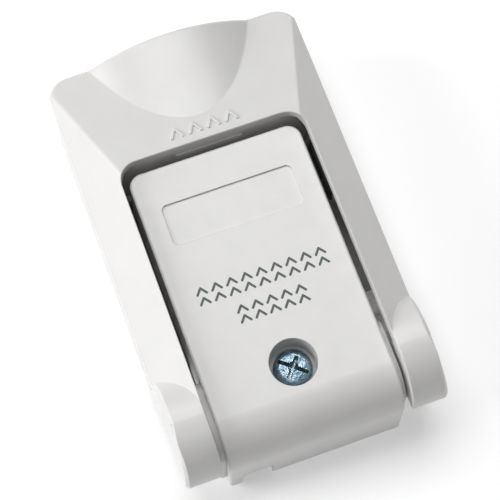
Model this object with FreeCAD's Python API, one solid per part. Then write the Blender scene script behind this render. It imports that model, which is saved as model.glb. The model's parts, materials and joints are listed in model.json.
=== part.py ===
import FreeCAD, Part
import math
import os

from FreeCAD import Vector

# Pull-lever emergency alarm switch for a wall or a desk.
# Frame in millimetres: +Z out of the wall, +Y towards the pull end of the lever, X across.
# The origin is the centre of the footprint on the wall. All but the cable notch, the
# magnet and the wiring is symmetric about X = 0.

# Overall size
LENGTH = 88.8
WIDTH = 54.0
RIDGE_HEIGHT = 23.8

# Lever shell: a frame round the cover, with a ramp and a finger hood at the pull end
LEVER_WALL = 2.0
ARM_WIDTH = 7.6
SIDE_DRAFT = 0.066
RIM_HEIGHT = 13.0
SLOPE_FOOT_HEIGHT = 16.6
HEADER_LENGTH = 25.6
RAMP_END_HEIGHT = 16.1
HEADER_CORNER_RADIUS = 5.0
HOOD_RADIUS = 29.1
HOOD_BELOW_RIDGE = 1.8
HOOD_OPENING_WIDTH = 29.0
BROW_WALL = 1.8
BROW_WALL_FOOT_HEIGHT = 5.0
HEADER_RIB = 1.4
HEADER_RIB_OFFSET = 17.6
CREASE_ROUND = 0.6
RIM_ROUND = 1.0
KNUCKLE_BEVEL = 0.6
WINDOW_BEVEL = 0.2
SHOULDER_ROUND = 1.0

# Latch tongue on the window side of the lever's header, and the catch behind it
TONGUE_WIDTH = 14.0
TONGUE_REACH = 0.4
TONGUE_HEIGHT = 1.8
TONGUE_TOP_HEIGHT = 20.4
CATCH_WIDTH = 9.0
CATCH_REACH = 0.7
CATCH_HEIGHT = 1.8
CATCH_TOP_HEIGHT = 9.6

# Knuckles: the lever's rolled lower corners, which hold the hinge
KNUCKLE_ABOVE_RIDGE = 0.15
KNUCKLE_FRONT_RADIUS = 10.4
KNUCKLE_BACK_RADIUS = 11.4
KNUCKLE_DISC = 1.6
WEB_FLARE_FRONT = 2.0
WEB_FLARE_BACK = 3.0
WEB_FOOT_BELOW_PIVOT = 1.1
PIVOT_FROM_END = 8.8
PIVOT_HEIGHT = 9.0
PIVOT_BOSS_RADIUS = 4.5
PIN_RADIUS = 1.5
PIN_REACH = 5.0
PIN_FIT = 0.05
PIN_HEAD_RADIUS = 2.5
PIN_HEAD_THICKNESS = 1.1

# Cover in the window of the lever
COVER_HEIGHT = 21.2
COVER_WALL = 2.0
COVER_SIDE_WALL = 1.7
COVER_SIDE_GAP = 1.4
COVER_TOP_GAP = 1.8
COVER_CORNER_RADIUS = 2.8
COVER_EDGE_BEVEL = 0.35
COVER_ROLL_RADIUS = 8.4
COVER_END_SETBACK = 0.3
COVER_LIFT = 0.3
LABEL_WIDTH = 27.2
LABEL_HEIGHT = 8.8
LABEL_FROM_COVER_TOP = 8.1
LABEL_DEPTH = 0.35
LABEL_CORNER_RADIUS = 1.2
COVER_RIB = 1.0
COVER_RIB_DEPTH = 1.0
COVER_RIB_FROM_SCREW = 25.2
NOTCH_WIDTH = 6.3
NOTCH_FROM_COVER_SIDE = 2.6
NOTCH_HEIGHT = 5.8
NOTCH_CORNER_RADIUS = 2.2

# Cover screw in its counterbore
SCREW_FROM_END = 14.7
COUNTERBORE_RADIUS = 4.75
COUNTERBORE_WALL = 1.5
HEAD_SINK = 3.3
HEAD_RADIUS = 3.9
HEAD_HEIGHT = 2.4
SHANK_RADIUS = 1.9
SCREW_LENGTH = 10.0
SCREW_SEAT_THICKNESS = 2.4
SCREW_FIT = 0.05
RECESS_SLOT_LENGTH = 6.6
RECESS_ARM_LENGTH = 4.6
RECESS_ARM_WIDTH = 1.1
RECESS_DEPTH = 1.5
RECESS_TURN = -40.0
INSERT_RADIUS = 2.7
INSERT_LENGTH = 6.0

# Form of every screw, as shares of its own head and shank
BEVEL_SHARE = 0.35
POINT_SHARE = 0.6
POINT_TIP_SHARE = 0.5

# Base tray on the wall
BASE_WALL = 1.8
BASE_FLOOR = 2.2
BASE_SIDE_INSET = 0.4
BASE_END_INSET = 0.9
BASE_CORNER_RADIUS = 4.6
RIM_GAP = 0.3
SHOULDER_FROM_END = 23.8
EAR_THICKNESS = 2.6
EAR_CORNER_RADIUS = 2.6
EAR_BACK_LENGTH = 18.0
PART_GAP = 0.2
CROSS_WALL = 1.3
CROSS_WALL_HEIGHT = 8.0
HOOK_WIDTH = 6.0
HOOK_SPACING = 20.0
HOOK_THICKNESS = 1.4
HOOK_REACH = 1.0
GUIDE_RIB = 1.0
GUIDE_RIB_HEIGHT = 7.0
BOSS_WALL = 1.6
BOSS_RIB_LENGTH = 8.6
BOSS_RIB_HEIGHT = 6.4
FINGER_WELL_RADIUS = 15.0
FINGER_WELL_WALL = 1.6
FINGER_WELL_CENTRE_OUT = 1.0
FINGER_WELL_RIM_DROP = 0.4

# Holes through the base
WALL_SCREW_SPACING = 33.0
WALL_SCREW_HOLE_RADIUS = 2.2
WALL_SCREW_PAD_RADIUS = 4.6
WALL_SCREW_PAD_RISE = 0.9
WALL_SCREW_FROM_END = 24.1
WIRE_ENTRY_WIDTH = 8.0
WIRE_ENTRY_LENGTH = 8.0
WIRE_ENTRY_CENTRE = 11.0
WIRE_ENTRY_FROM_END = 24.0
WIRE_ENTRY_CORNER_RADIUS = 1.5

# Circuit board on posts
BOARD_THICKNESS = 1.6
BOARD_LIFT = 2.8
BOARD_SIDE_GAP = 1.1
BOARD_LENGTH = 29.0
BOARD_FROM_COVER_TOP = 2.6
BOARD_ARM_WIDTH = 8.2
BOARD_BAY_LENGTH = 10.6
BOARD_CORNER_RADIUS = 1.0
BOARD_POST_RADIUS = 2.4
BOARD_SCREW_RADIUS = 1.1
BOARD_SCREW_LENGTH = 5.5
BOARD_SCREW_HEAD_RADIUS = 2.1
BOARD_SCREW_HEAD_HEIGHT = 1.3
BOARD_SCREW_INSET = 3.2
BOARD_SCREW_FROM_REED = 6.4

# Terminal block with three screw terminals
POLES = 3
POLE_PITCH = 7.6
TERMINAL_DEPTH = 8.0
TERMINAL_HEIGHT = 9.2
TERMINAL_END_WALL = 0.9
TERMINAL_FROM_BOARD_END = 1.2
TERMINAL_CHAMFER = 1.6
WIRE_HOLE_SIZE = 3.7
WIRE_HOLE_DEPTH = 6.4
WIRE_HOLE_SILL = 1.1
CLAMP_THICKNESS = 0.9
CLAMP_FIT = 0.1
TERMINAL_SCREW_RADIUS = 1.3
TERMINAL_HEAD_RADIUS = 1.9
TERMINAL_HEAD_HEIGHT = 1.6
TERMINAL_WELL_FIT = 0.15
TERMINAL_HEAD_SINK = 0.6
DRIVER_SLOT = 0.6

# Reed switch beside the lever's magnet
REED_LENGTH = 13.0
REED_RADIUS = 1.25
REED_WALL = 0.3
REED_SEAL = 1.8
REED_HEIGHT = 3.0
REED_FROM_BOARD_SIDE = 3.2
REED_FROM_BOARD_TOP = 3.6
LEAD_RADIUS = 0.3
LEAD_RUN = 1.6
LEAD_BEND = 0.6
LEAD_SPREAD = 1.3
LEAD_SPREAD_IN_GLASS = 0.86
LEAD_BELOW_BOARD = 0.6
LEAD_FIT = 0.05
BLADE_THICKNESS = 0.2
BLADE_WIDTH = 0.9
BLADE_LAP = 1.2
CLOSED_CONTACT_GAP = 0.05
OPEN_CONTACT_GAP = 0.25

# Magnet in the right arm of the lever
MAGNET_WIDTH = 3.2
MAGNET_LENGTH = 12.0
MAGNET_HEIGHT = 5.0
MAGNET_FROM_WINDOW_TOP = 4.6
MAGNET_FROM_WINDOW_SIDE = 0.5
MAGNET_TOP_HEIGHT = 16.6
MAGNET_RIB = 1.2
MAGNET_FIT = 0.05
MAGNET_CHAMFER = 0.4

# Detent spring behind the lever's header wall
SPRING_THICKNESS = 0.4
SPRING_WIDTH = 8.0
SPRING_CLEARANCE = 0.3
SPRING_FOOT_EDGE = 2.4
SPRING_NOSE = 0.9
SPRING_BEND_RADIUS = 0.8
SPRING_PAD_HEIGHT = 1.8
SPRING_TAIL_RISE = 2.0
SPRING_TAIL_LEAN = 0.5
SPRING_SCREW_RADIUS = 1.2
SPRING_SCREW_HEAD_RADIUS = 1.9
SPRING_SCREW_HEAD_HEIGHT = 1.5
SPRING_SCREW_LENGTH = 3.4

# Places worked out from the sizes above
END = LENGTH / 2
WINDOW_HALF = WIDTH / 2 - ARM_WIDTH
COVER_HALF = WINDOW_HALF - COVER_SIDE_GAP
WINDOW_TOP = END - HEADER_LENGTH
KNUCKLE_CROWN_HEIGHT = RIDGE_HEIGHT + KNUCKLE_ABOVE_RIDGE
HOOD_CROWN_HEIGHT = RIDGE_HEIGHT - HOOD_BELOW_RIDGE
RAMP_SLOPE = (RIDGE_HEIGHT - RAMP_END_HEIGHT) / HEADER_LENGTH
WINDOW_CORNER = COVER_CORNER_RADIUS + COVER_SIDE_GAP
COVER_TOP = WINDOW_TOP - COVER_TOP_GAP
COVER_END = -END + COVER_END_SETBACK
COVER_FACE_UNDER = COVER_HEIGHT - COVER_WALL
ROLL_Y = -END + KNUCKLE_FRONT_RADIUS
PIVOT_Y = -END + PIVOT_FROM_END
SCREW_Y = -END + SCREW_FROM_END
SHOULDER_Y = -END + SHOULDER_FROM_END
HEAD_SEAT = COVER_HEIGHT - HEAD_SINK - HEAD_HEIGHT
NOTCH_X0 = -COVER_HALF + NOTCH_FROM_COVER_SIDE
BOSS_TOP = HEAD_SEAT - SCREW_SEAT_THICKNESS - PART_GAP
BASE_HALF = WIDTH / 2 - BASE_SIDE_INSET
BASE_END = END - BASE_END_INSET
BASE_WALL_TOP = RIM_HEIGHT - RIM_GAP
EAR_OUTER = WINDOW_HALF - RIM_GAP
EAR_INNER = EAR_OUTER - EAR_THICKNESS
EAR_BACK = -END + EAR_BACK_LENGTH
PIN_INNER = EAR_OUTER - PIN_REACH
PIN_OUTER = WINDOW_HALF + PIN_REACH
BOARD_BOTTOM = BASE_FLOOR + BOARD_LIFT
BOARD_TOP = BOARD_BOTTOM + BOARD_THICKNESS
BOARD_Y1 = COVER_TOP - BOARD_FROM_COVER_TOP
BOARD_Y0 = BOARD_Y1 - BOARD_LENGTH
BOARD_HALF = COVER_HALF - COVER_SIDE_WALL - BOARD_SIDE_GAP
TERMINAL_Y0 = BOARD_Y0 + TERMINAL_FROM_BOARD_END
TERMINAL_Y1 = TERMINAL_Y0 + TERMINAL_DEPTH
TERMINAL_MIDDLE = (TERMINAL_Y0 + TERMINAL_Y1) / 2
CLAMP_Z0 = BOARD_TOP + WIRE_HOLE_SILL
REED_X = BOARD_HALF - REED_FROM_BOARD_SIDE
REED_Z = BOARD_TOP + REED_HEIGHT
REED_Y1 = BOARD_Y1 - REED_FROM_BOARD_TOP
REED_Y0 = REED_Y1 - REED_LENGTH
REED_MIDDLE = (REED_Y0 + REED_Y1) / 2
MAGNET_X0 = WINDOW_HALF + MAGNET_FROM_WINDOW_SIDE
MAGNET_Y1 = WINDOW_TOP - MAGNET_FROM_WINDOW_TOP
MAGNET_Y0 = MAGNET_Y1 - MAGNET_LENGTH
MAGNET_Z0 = MAGNET_TOP_HEIGHT - MAGNET_HEIGHT
BROW_BACK = WINDOW_TOP + BROW_WALL
CATCH_TIP = BROW_BACK + CATCH_REACH
SPRING_PAD_TOP = BASE_FLOOR + SPRING_PAD_HEIGHT
SPRING_NOSE_Y = CATCH_TIP + SPRING_CLEARANCE
SPRING_LEG_Y = SPRING_NOSE_Y + SPRING_NOSE
SPRING_BEND_END = SPRING_LEG_Y + SPRING_THICKNESS + SPRING_BEND_RADIUS
SPRING_SCREW_Y = SPRING_BEND_END + SPRING_SCREW_HEAD_RADIUS + PART_GAP
SPRING_FOOT_END = SPRING_SCREW_Y + SPRING_FOOT_EDGE
WALL_SCREW_PAD_TOP = BASE_FLOOR + WALL_SCREW_PAD_RISE
SKIRT_FOOT = WALL_SCREW_PAD_TOP + PART_GAP
WALL_SCREW_Y0 = -END + WALL_SCREW_FROM_END
WALL_SCREW_Y1 = WALL_SCREW_Y0 + WALL_SCREW_SPACING

# Margins by which cuts and hidden joins run past a face
BELOW = 1.0
FAR = 2 * LENGTH
SAME = 0.001
MITRED = 1


# Outlines and simple solids

def xy(a, b):
    return Vector(a, b, 0)


def xz(a, b):
    return Vector(a, 0, b)


def yz(a, b):
    return Vector(0, a, b)


def rounded_corner(before, corner, after, radius):
    """Three points of the arc that rounds a corner."""
    u = (before - corner).normalize()
    v = (after - corner).normalize()
    half = u.getAngle(v) / 2
    reach = radius / math.tan(half)
    middle = (u + v).normalize()
    centre = corner + middle * (radius / math.sin(half))
    return corner + u * reach, centre - middle * radius, corner + v * reach


def outline(corners, place):
    """A closed face through corners (a, b) or (a, b, radius)."""
    points = [place(c[0], c[1]) for c in corners]
    radii = [c[2] if len(c) > 2 else 0 for c in corners]
    count = len(points)
    edges = []
    ends = []
    for i in range(count):
        if radii[i]:
            arc = rounded_corner(points[i - 1], points[i], points[(i + 1) % count], radii[i])
            edges.append(Part.Arc(*arc).toShape())
            ends.append((arc[0], arc[2]))
        else:
            ends.append((points[i], points[i]))
    for i in range(count):
        start = ends[i][1]
        stop = ends[(i + 1) % count][0]
        if start.distanceToPoint(stop) > 1e-6:
            edges.append(Part.makeLine(start, stop))
    return Part.Face(Part.Wire(Part.__sortEdges__(edges)))


def along_x(corners, x0, x1):
    face = outline(corners, yz)
    face.translate(Vector(x0, 0, 0))
    return face.extrude(Vector(x1 - x0, 0, 0))


def along_y(corners, y0, y1):
    face = outline(corners, xz)
    face.translate(Vector(0, y0, 0))
    return face.extrude(Vector(0, y1 - y0, 0))


def along_z(corners, z0, z1):
    face = outline(corners, xy)
    face.translate(Vector(0, 0, z0))
    return face.extrude(Vector(0, 0, z1 - z0))


def block(x0, x1, y0, y1, z0, z1):
    return Part.makeBox(x1 - x0, y1 - y0, z1 - z0, Vector(x0, y0, z0))


def rod_x(y, z, radius, x0, x1):
    return Part.makeCylinder(radius, x1 - x0, Vector(x0, y, z), Vector(1, 0, 0))


def rod_y(x, z, radius, y0, y1):
    return Part.makeCylinder(radius, y1 - y0, Vector(x, y0, z), Vector(0, 1, 0))


def rod_z(x, y, radius, z0, z1):
    return Part.makeCylinder(radius, z1 - z0, Vector(x, y, z0), Vector(0, 0, 1))


def rectangle(x0, x1, y0, y1, radius):
    return [(x0, y0, radius), (x1, y0, radius), (x1, y1, radius), (x0, y1, radius)]


def mirrored(shape):
    return shape.mirror(Vector(0, 0, 0), Vector(1, 0, 0))


def both_sides(shape):
    return [shape, mirrored(shape)]


def inset(corners, distance):
    """The same convex outline, listed anticlockwise, moved inwards."""
    count = len(corners)
    lines = []
    for i in range(count):
        a0, b0 = corners[i][:2]
        a1, b1 = corners[(i + 1) % count][:2]
        run = math.hypot(a1 - a0, b1 - b0)
        na = -(b1 - b0) / run
        nb = (a1 - a0) / run
        lines.append((na, nb, na * a0 + nb * b0 + distance))
    result = []
    for i in range(count):
        na, nb, c = lines[i - 1]
        ma, mb, d = lines[i]
        det = na * mb - nb * ma
        radius = corners[i][2] if len(corners[i]) > 2 else 0
        result.append(((c * mb - d * nb) / det, (na * d - ma * c) / det, max(radius - distance, 0)))
    return result


def faces_facing(shape, normal):
    """Flat faces whose outward normal is along a direction."""
    direction = Vector(*normal).normalize()
    found = []
    for face in shape.Faces:
        if isinstance(face.Surface, Part.Plane):
            u0, u1, v0, v1 = face.ParameterRange
            outward = face.normalAt((u0 + u1) / 2, (v0 + v1) / 2)
            if outward.distanceToPoint(direction) < SAME:
                found.append(face)
    return found


def faces_rolled(shape, radius):
    """Cylindrical faces of a radius."""
    rolled = [face for face in shape.Faces if isinstance(face.Surface, Part.Cylinder)]
    return [face for face in rolled if abs(face.Surface.Radius - radius) < SAME]


def edges_above(faces, height):
    edges = []
    for face in faces:
        edges += [edge for edge in face.Edges if edge.BoundBox.ZMin > height + SAME]
    return edges


def shared_edges(faces, others):
    """Edges along which a face of one list meets a face of the other."""
    known = [edge for face in others for edge in face.Edges]
    return [edge for face in faces for edge in face.Edges if any(edge.isSame(k) for k in known)]


def cross_recess(x, y, top):
    """Driver recess with one long slot and one short arm, cut downwards from a screw head."""
    z = top - RECESS_DEPTH
    height = RECESS_DEPTH + BELOW
    half = RECESS_ARM_WIDTH / 2
    long_half = RECESS_SLOT_LENGTH / 2
    short_half = RECESS_ARM_LENGTH / 2
    slot = block(x - long_half, x + long_half, y - half, y + half, z, z + height)
    arm = block(x - half, x + half, y - short_half, y + short_half, z, z + height)
    return slot.fuse(arm)


def bevelled_head(x, y, seat, radius, height):
    """Pan head with a bevelled rim."""
    edge = min(height, radius) * BEVEL_SHARE
    place = Vector(x, y, seat + height - edge)
    return rod_z(x, y, radius, seat, seat + height - edge).fuse(Part.makeCone(radius, radius - edge, edge, place))


def shank_and_point(x, y, seat, radius, length):
    end = seat - length
    point = radius * POINT_SHARE
    shank = rod_z(x, y, radius, end + point, seat)
    return shank.fuse(Part.makeCone(radius * POINT_TIP_SHARE, radius, point, Vector(x, y, end)))


def small_screw(x, y, seat, head_radius, head_height, radius, length):
    """Small plain screw that points down."""
    head = rod_z(x, y, head_radius, seat, seat + head_height)
    return head.fuse(shank_and_point(x, y, seat, radius, length)).removeSplitter()


# Lever

def side_x(z):
    """Half width of the drafted outer sides at a height."""
    return WIDTH / 2 - (z - RIM_HEIGHT) * SIDE_DRAFT


def arm_section():
    low = RIM_HEIGHT - 2 * LEVER_WALL
    foot = side_x(SLOPE_FOOT_HEIGHT)
    slope = (RIDGE_HEIGHT - SLOPE_FOOT_HEIGHT) / (foot - WINDOW_HALF)
    top_x = WINDOW_HALF - WINDOW_CORNER
    top_z = RIDGE_HEIGHT + slope * WINDOW_CORNER
    return [
        (-side_x(low), low),
        (side_x(low), low),
        (foot, SLOPE_FOOT_HEIGHT),
        (top_x, top_z),
        (-top_x, top_z),
        (-foot, SLOPE_FOOT_HEIGHT),
    ]


def arm_profile():
    low = RIM_HEIGHT - 2 * LEVER_WALL
    return [
        (ROLL_Y, low),
        (END, low),
        (END, RAMP_END_HEIGHT),
        (WINDOW_TOP - WINDOW_CORNER, RIDGE_HEIGHT + RAMP_SLOPE * WINDOW_CORNER),
        (ROLL_Y, RIDGE_HEIGHT),
    ]


def header_corners(distance):
    """Plan outline that rounds the two corners of the pull end."""
    half = WIDTH / 2 - distance
    end = END - distance
    radius = HEADER_CORNER_RADIUS - distance
    return [(-half, -FAR), (half, -FAR), (half, end, radius), (-half, end, radius)]


def arms_and_header(distance):
    section = along_y(inset(arm_section(), distance), -FAR, FAR)
    profile = along_x(inset(arm_profile(), distance), -FAR, FAR)
    plan = along_z(header_corners(distance), -BELOW, FAR)
    return section.common(profile).common(plan)


def hood(distance, stop):
    centre = HOOD_CROWN_HEIGHT - HOOD_RADIUS
    return rod_y(0, centre, HOOD_RADIUS - distance, WINDOW_TOP, stop)


def knuckle_profile(distance):
    """Side view of a knuckle: tight roll in front, wide roll behind."""
    front_z = KNUCKLE_CROWN_HEIGHT - KNUCKLE_FRONT_RADIUS
    back_z = KNUCKLE_CROWN_HEIGHT - KNUCKLE_BACK_RADIUS
    front = rod_x(ROLL_Y, front_z, KNUCKLE_FRONT_RADIUS - distance, 0, WIDTH)
    front = front.fuse(block(0, WIDTH, -END + distance, ROLL_Y, front_z - KNUCKLE_FRONT_RADIUS, front_z))
    front = front.common(block(0, WIDTH, -FAR, ROLL_Y, -FAR, FAR))
    back = rod_x(ROLL_Y, back_z, KNUCKLE_BACK_RADIUS - distance, 0, WIDTH)
    back = back.common(block(0, WIDTH, ROLL_Y, FAR, -FAR, FAR))
    return front.fuse(back)


def knuckle(distance, x0):
    side = [
        (x0, -FAR),
        (side_x(-FAR) - distance, -FAR),
        (side_x(FAR) - distance, FAR),
        (x0, FAR),
    ]
    return knuckle_profile(distance).common(along_y(side, -FAR, FAR))


def bevelled_knuckle():
    """A knuckle with its outer edge bevelled, front roll and back roll in turn."""
    form = knuckle(0, WINDOW_HALF)
    spans = ((-FAR, ROLL_Y, KNUCKLE_FRONT_RADIUS), (ROLL_Y, FAR, KNUCKLE_BACK_RADIUS))
    rolls = []
    for y0, y1, radius in spans:
        roll = form.common(block(0, WIDTH, y0, y1, RIM_HEIGHT - BELOW, FAR)).removeSplitter()
        edge = shared_edges(faces_facing(roll, (1, 0, SIDE_DRAFT)), faces_rolled(roll, radius))
        rolls.append(roll.makeChamfer(KNUCKLE_BEVEL, edge))
    return rolls[0].fuse(rolls[1]).removeSplitter()


def window():
    plan = [
        (-WINDOW_HALF, -FAR),
        (WINDOW_HALF, -FAR),
        (WINDOW_HALF, WINDOW_TOP, WINDOW_CORNER),
        (-WINDOW_HALF, WINDOW_TOP, WINDOW_CORNER),
    ]
    return along_z(plan, -BELOW, FAR)


def hinge_web():
    """Web and boss below each knuckle that take the hinge pin."""
    boss = rod_x(PIVOT_Y, PIVOT_HEIGHT, PIVOT_BOSS_RADIUS, WINDOW_HALF, PIN_OUTER + LEVER_WALL)
    foot = PIVOT_HEIGHT - WEB_FOOT_BELOW_PIVOT
    top = RIM_HEIGHT + BELOW
    front = PIVOT_Y - PIVOT_BOSS_RADIUS
    back = PIVOT_Y + PIVOT_BOSS_RADIUS
    web = [(front, foot), (back, foot), (back + WEB_FLARE_BACK, top), (front - WEB_FLARE_FRONT, top)]
    return boss.fuse(along_x(web, WINDOW_HALF, WINDOW_HALF + KNUCKLE_DISC))


def brow_wall():
    """Wall of the header that faces the cover, with its latch tongue and catch."""
    half = WINDOW_HALF + LEVER_WALL
    wall = block(-half, half, WINDOW_TOP, BROW_BACK, BROW_WALL_FOOT_HEIGHT, RIDGE_HEIGHT - BELOW)
    tongue = [
        (WINDOW_TOP + BELOW, TONGUE_TOP_HEIGHT - TONGUE_HEIGHT - TONGUE_REACH),
        (WINDOW_TOP + BELOW, TONGUE_TOP_HEIGHT),
        (WINDOW_TOP - TONGUE_REACH, TONGUE_TOP_HEIGHT),
        (WINDOW_TOP - TONGUE_REACH, TONGUE_TOP_HEIGHT - TONGUE_HEIGHT),
    ]
    catch = [
        (BROW_BACK - BELOW, CATCH_TOP_HEIGHT - CATCH_HEIGHT),
        (CATCH_TIP, CATCH_TOP_HEIGHT - CATCH_HEIGHT / 2),
        (BROW_BACK - BELOW, CATCH_TOP_HEIGHT),
    ]
    tongue = along_x(tongue, -TONGUE_WIDTH / 2, TONGUE_WIDTH / 2)
    catch = along_x(catch, -CATCH_WIDTH / 2, CATCH_WIDTH / 2)
    return wall.fuse([tongue, catch])


def header_ribs():
    x0 = HEADER_RIB_OFFSET - HEADER_RIB / 2
    rib = block(x0, x0 + HEADER_RIB, WINDOW_TOP, END - BELOW, RIM_HEIGHT, RIDGE_HEIGHT)
    return both_sides(rib)


def magnet_pocket():
    """Ribs under the right arm that grip the magnet at its ends and its back."""
    x1 = MAGNET_X0 + MAGNET_WIDTH
    fit = MAGNET_FIT
    floor = MAGNET_Z0 + MAGNET_HEIGHT / 3
    y0 = MAGNET_Y0 - fit - MAGNET_RIB
    y1 = MAGNET_Y1 + fit + MAGNET_RIB
    holder = block(MAGNET_X0 + MAGNET_CHAMFER, x1 + fit + MAGNET_RIB, y0, y1, floor, RIDGE_HEIGHT)
    seat = block(0, x1 + fit, MAGNET_Y0 - fit, MAGNET_Y1 + fit, -BELOW, MAGNET_TOP_HEIGHT + fit)
    return holder.cut(seat)


def lever_form():
    """Ramp, hood, arms and knuckles as one solid form, cut by the window."""
    header = arms_and_header(0).fuse(hood(0, END))
    header = header.common(along_z(header_corners(0), RIM_HEIGHT, FAR))
    form = header.cut(window()).fuse(both_sides(bevelled_knuckle()))
    form = form.common(block(-WIDTH, WIDTH, -FAR, FAR, RIM_HEIGHT, FAR))
    return form.removeSplitter()


def ramp_faces(shape):
    return faces_facing(shape, (0, RAMP_SLOPE, 1))


def slope_faces(shape):
    across = side_x(SLOPE_FOOT_HEIGHT) - WINDOW_HALF
    fall = RIDGE_HEIGHT - SLOPE_FOOT_HEIGHT
    return faces_facing(shape, (fall, 0, across)) + faces_facing(shape, (-fall, 0, across))


def side_faces(shape):
    return faces_facing(shape, (1, 0, SIDE_DRAFT)) + faces_facing(shape, (-1, 0, SIDE_DRAFT))


def rounded_lever(form):
    """The form with its crease, ridges and rim rounded and its window edge bevelled."""
    crease = shared_edges(ramp_faces(form), faces_rolled(form, HOOD_RADIUS))
    form = form.makeFillet(CREASE_ROUND, crease)
    walls = side_faces(form) + faces_facing(form, (0, 1, 0)) + faces_rolled(form, HEADER_CORNER_RADIUS)
    tops = slope_faces(form) + ramp_faces(form) + faces_rolled(form, HOOD_RADIUS)
    ridges = shared_edges(ramp_faces(form), slope_faces(form))
    form = form.makeFillet(RIM_ROUND, shared_edges(walls, tops) + ridges)
    inner = faces_facing(form, (1, 0, 0)) + faces_facing(form, (-1, 0, 0))
    inner += faces_rolled(form, WINDOW_CORNER)
    window_edge = edges_above(inner, RIM_HEIGHT)
    window_edge += shared_edges(faces_facing(form, (0, -1, 0)), ramp_faces(form))
    return form.makeChamfer(WINDOW_BEVEL, window_edge)


def lever_outside():
    return rounded_lever(lever_form())


def lever_hollow():
    """Space under the lever's walls."""
    hollow = arms_and_header(LEVER_WALL).fuse(hood(LEVER_WALL, END - LEVER_WALL))
    return hollow.fuse(both_sides(knuckle(LEVER_WALL, WINDOW_HALF + KNUCKLE_DISC)))


def lever_inner_walls():
    """Brow wall, ribs and magnet pocket, which end inside the outer walls."""
    middle = LEVER_WALL / 2
    room = arms_and_header(middle).fuse(hood(middle, END - middle))
    below = block(-WINDOW_HALF, WINDOW_HALF, WINDOW_TOP - TONGUE_REACH, END, 0, RIM_HEIGHT)
    room = room.fuse(below)
    walls = [brow_wall(), magnet_pocket()] + header_ribs()
    return [wall.common(room) for wall in walls]


def pull_lever():
    lever = lever_outside().cut(lever_hollow())
    lever = lever.fuse(lever_inner_walls() + both_sides(hinge_web()))
    bore = rod_x(PIVOT_Y, PIVOT_HEIGHT, PIN_RADIUS + PIN_FIT, 0, PIN_OUTER + PIN_FIT)
    lever = lever.cut([hood_opening()] + both_sides(bore))
    return lever.removeSplitter()


def hood_opening():
    half = HOOD_OPENING_WIDTH / 2
    centre = HOOD_CROWN_HEIGHT - HOOD_RADIUS
    gap = rod_y(0, centre, HOOD_RADIUS - LEVER_WALL, END - 2 * LEVER_WALL, END + BELOW)
    return gap.common(block(-half, half, 0, FAR, RIM_HEIGHT - BELOW, FAR))


# Cover

def cover_profile(foot=COVER_LIFT):
    """Side view of the cover: flat face, rolled lower end, straight end walls."""
    return [
        (COVER_END, foot),
        (COVER_TOP, foot),
        (COVER_TOP, COVER_HEIGHT),
        (COVER_END, COVER_HEIGHT, COVER_ROLL_RADIUS),
    ]


def cover_body(end_wall, side_wall, foot):
    """The cover's outer form, or its hollow when the walls are given."""
    profile = along_x(inset(cover_profile(foot), end_wall), -FAR, FAR)
    half = COVER_HALF - side_wall
    corner = COVER_CORNER_RADIUS - side_wall
    top = COVER_TOP - end_wall
    plan = [(-half, -FAR), (half, -FAR), (half, top, corner), (-half, top, corner)]
    return profile.common(along_z(plan, -FAR, FAR))


def cover_hooks():
    """Two hooks on the top end wall that reach into the base's cross wall."""
    hooks = []
    for side in (-1, 1):
        x0 = side * HOOK_SPACING / 2 - HOOK_WIDTH / 2
        tip = COVER_TOP + HOOK_REACH
        top = SKIRT_FOOT + HOOK_THICKNESS
        hooks.append(block(x0, x0 + HOOK_WIDTH, COVER_TOP - BELOW, tip, SKIRT_FOOT, top))
    return hooks


def cover_notch():
    x1 = NOTCH_X0 + NOTCH_WIDTH
    shape = [
        (NOTCH_X0, -BELOW),
        (x1, -BELOW),
        (x1, NOTCH_HEIGHT),
        (NOTCH_X0, NOTCH_HEIGHT, NOTCH_CORNER_RADIUS),
    ]
    return along_y(shape, COVER_END - BELOW, COVER_END + COVER_WALL + BELOW)


def ear_room():
    """Space inside the cover's sides that the base's ears take up."""
    x0 = EAR_INNER - PART_GAP
    room = along_x(inset(cover_profile(-WIDTH), COVER_WALL), x0, FAR)
    return room.common(block(x0, FAR, -FAR, EAR_BACK + PART_GAP, -BELOW, FAR))


def label_recess():
    y1 = COVER_TOP - LABEL_FROM_COVER_TOP
    plan = rectangle(-LABEL_WIDTH / 2, LABEL_WIDTH / 2, y1 - LABEL_HEIGHT, y1, LABEL_CORNER_RADIUS)
    return along_z(plan, COVER_HEIGHT - LABEL_DEPTH, COVER_HEIGHT + BELOW)


def cover_ribs():
    """Two cross ribs that stiffen the face."""
    ribs = []
    half = COVER_HALF - COVER_SIDE_WALL / 2
    low = COVER_FACE_UNDER - COVER_RIB_DEPTH
    for y in (SCREW_Y + COVER_RIB_FROM_SCREW, BOARD_Y1):
        ribs.append(block(-half, half, y - COVER_RIB, y, low, COVER_FACE_UNDER + COVER_WALL / 2))
    return ribs


def bevelled_cover(form):
    """The outer form with the edge of its face and of its rolled end bevelled."""
    sides = faces_facing(form, (1, 0, 0)) + faces_facing(form, (-1, 0, 0))
    sides += faces_facing(form, (0, 1, 0)) + faces_rolled(form, COVER_CORNER_RADIUS)
    front = faces_facing(form, (0, 0, 1)) + faces_rolled(form, COVER_ROLL_RADIUS)
    front += faces_facing(form, (0, -1, 0))
    return form.makeChamfer(COVER_EDGE_BEVEL, shared_edges(sides, front))


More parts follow.
